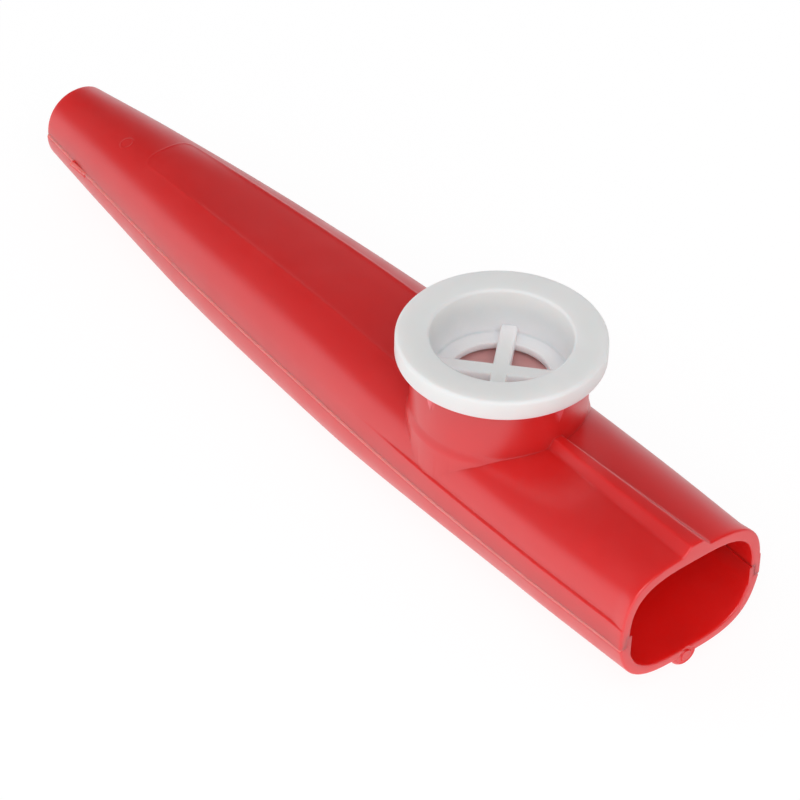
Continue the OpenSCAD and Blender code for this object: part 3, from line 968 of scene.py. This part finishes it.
def film_material():
    """Milky thin film that lets the chamber under it show."""
    g = Surface("milky_film")
    tone = g.tint(g.remap(g.noise(380, 3), 0.3, 0.7, 0, 1), FILM_DARK, FILM_LIGHT)
    normal = g.bump(g.noise(520, 3, (1, 0.3, 1)), 0.3, 0.02 * MM)
    g.set(Base_Color=tone, Normal=normal, Roughness=g.remap(g.noise(700, 2), 0.3, 0.7, 0.28, 0.42))
    g.set(IOR=1.35, Transmission_Weight=0.5)
    return g.material


def ring_material():
    """Ivory card or plastic of the carrying ring."""
    g = Surface("ring_ivory")
    tone = g.tint(g.remap(g.noise(600, 3), 0.3, 0.7, 0, 1), RING_DARK, RING_LIGHT)
    g.set(Base_Color=tone, Normal=g.bump(g.noise(1800, 3), 0.3, 0.01 * MM), IOR=1.48, Roughness=0.55)
    return g.material


def dress(obj, material, slot_name, body, *nodes):
    """Gives a piece its material and its body and hides the CAD nodes it stands for; slot_name is
    not used.
    """
    obj.data.materials.clear()
    obj.data.materials.append(material)
    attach(obj, body)
    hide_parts(*nodes)


# Stage, light and camera


def white_floor():
    """Pale floor that reads as white to the camera and in reflections, keeps the object's
    shadow and, from underneath, doesn't hide the object."""
    corners = [(a * FLOOR_HALF, b * FLOOR_HALF, 0) for a, b in ((-1, -1), (1, -1), (1, 1), (-1, 1))]
    floor = new_object("floor", corners, [(0, 1, 2, 3)])
    if floor.data.polygons[0].normal.z < 0:
        floor.data.flip_normals()
    floor.location.z = -FLOOR_DROP
    material = bpy.data.materials.new("pale_floor")
    g = Nodes(material)
    g.nodes.clear()
    path = g.add("ShaderNodeLightPath").outputs
    seen = g.math("MAXIMUM", path["Is Camera Ray"], path["Is Glossy Ray"])
    matt = g.add("ShaderNodeBsdfDiffuse")
    g.feed(matt.inputs["Color"], g.remap(seen, 0, 1, FLOOR_MATT, FLOOR_MATT_SEEN))
    glow = g.add("ShaderNodeEmission")
    g.feed(glow.inputs["Strength"], g.remap(seen, 0, 1, FLOOR_GLOW, FLOOR_GLOW_SEEN))
    both = g.add("ShaderNodeAddShader")
    g.feed(both.inputs[0], matt.outputs["BSDF"])
    g.feed(both.inputs[1], glow.outputs["Emission"])
    pick = g.add("ShaderNodeMixShader")
    g.feed(pick.inputs[0], g.add("ShaderNodeNewGeometry").outputs["Backfacing"])
    g.feed(pick.inputs[1], both.outputs["Shader"])
    g.feed(pick.inputs[2], g.add("ShaderNodeBsdfTransparent").outputs["BSDF"])
    g.feed(g.add("ShaderNodeOutputMaterial").inputs["Surface"], pick.outputs["Shader"])
    floor.data.materials.append(material)


class Sky(Nodes):
    """Strengths of the studio's world by direction."""

    def __init__(self, world):
        super().__init__(world)
        self.nodes.clear()
        self.aim = self.add("ShaderNodeTexCoord").outputs["Generated"]

    def rise(self, top, low, high):
        """A soft change in strength from the horizon to height top."""
        return self.remap(self.height(self.aim), 0, top, low, high, "SMOOTHSTEP")

    def lobe(self, towards, inner, outer, strength):
        """A soft round glow about one direction, between two angles in degrees."""
        dot = self.vector("DOT_PRODUCT", self.aim, Vector(towards).normalized())
        edge, core = (math.cos(math.radians(a)) for a in (outer, inner))
        return self.remap(dot, edge, core, 0, strength, "SMOOTHSTEP")


def white_world():
    """White to the camera and through the film. An even pale dome lights the object, a little
    stronger on the left and before the mouth. Glossy surfaces show a dome of their own, brighter
    round the horizon than overhead, with three soft glows that give the satin red its bands."""
    world = bpy.data.worlds.new("studio")
    bpy.context.scene.world = world
    sky = Sky(world)
    dome = sky.math("ADD", sky.rise(0.7, DOME_LOW, DOME_HIGH),
                    sky.lobe(DOME_LEFT_AIM, 15, 70, DOME_LEFT),
                    sky.lobe(DOME_FRONT_AIM, 10, 50, DOME_FRONT))
    shown = sky.math("ADD", sky.rise(0.4, SHOWN_LOW, SHOWN_HIGH),
                     sky.lobe(SHOWN_LEFT_AIM, 6, 26, SHOWN_LEFT),
                     sky.lobe(SHOWN_RIGHT_AIM, 6, 26, SHOWN_RIGHT),
                     sky.lobe(SHOWN_FRONT_AIM, 5, 22, SHOWN_FRONT))
    path = sky.add("ShaderNodeLightPath").outputs
    lit = sky.choose(path["Is Glossy Ray"], dome, shown)
    clear = sky.math("MAXIMUM", path["Is Camera Ray"], path["Is Transmission Ray"])
    back = sky.add("ShaderNodeBackground")
    sky.feed(back.inputs["Color"], SKY_COLOUR)
    sky.feed(back.inputs["Strength"], sky.choose(clear, lit, 1))
    sky.feed(sky.add("ShaderNodeOutputWorld").inputs["Surface"], back.outputs["Background"])


def key_lamp():
    """One large soft lamp above the wide end."""
    light = bpy.data.lights.new("key", "AREA")
    light.size = KEY_SIZE
    light.energy = KEY_POWER
    obj = bpy.data.objects.new("key", light)
    obj.location = KEY_PLACE
    towards = Vector(KEY_AIM) - Vector(KEY_PLACE)
    obj.rotation_euler = towards.to_track_quat("-Z", "Y").to_euler()
    bpy.context.scene.collection.objects.link(obj)


def photo_camera():
    """The photograph's own view of the object, fitted to its outline."""
    azimuth, elevation, roll = (math.radians(v) for v in (VIEW_AZIMUTH, VIEW_ELEVATION, VIEW_ROLL))
    right = Vector((math.cos(azimuth), math.sin(azimuth), 0))
    ahead = Vector((-math.sin(azimuth) * math.cos(elevation),
                    math.cos(azimuth) * math.cos(elevation), -math.sin(elevation)))
    above = right.cross(ahead)
    side = math.cos(roll) * right + math.sin(roll) * above
    top = math.cos(roll) * above - math.sin(roll) * right
    place = Vector((0, 0, SEAM_Z)) + VIEW_RIGHT * side - VIEW_DOWN * top - VIEW_DISTANCE * ahead
    camera = bpy.data.cameras.new("camera")
    camera.sensor_width = SENSOR_W
    camera.lens = VIEW_FOCAL / IMAGE_W * SENSOR_W
    camera.clip_start = 0.01
    obj = bpy.data.objects.new("camera", camera)
    turn = Matrix((side, top, -ahead)).transposed().to_4x4()
    obj.matrix_world = Matrix.Translation(place * MM) @ turn
    bpy.context.scene.collection.objects.link(obj)
    bpy.context.scene.camera = obj


def main():
    photo_camera()
    red = red_plastic()
    dress(make_upper(), red, "shell", "tube", "upper_shell")
    dress(make_lower(), red, "shell", "tube", "lower_shell")
    dress(make_cap(), cap_plastic(), "cap", "cap", "cap")
    dress(make_ring(), ring_material(), "ring", "membrane", "membrane_ring")
    dress(make_film(), film_material(), "film", "membrane", "membrane_film")
    white_floor()
    white_world()
    key_lamp()
    bpy.context.scene.view_settings.view_transform = "Standard"


main()
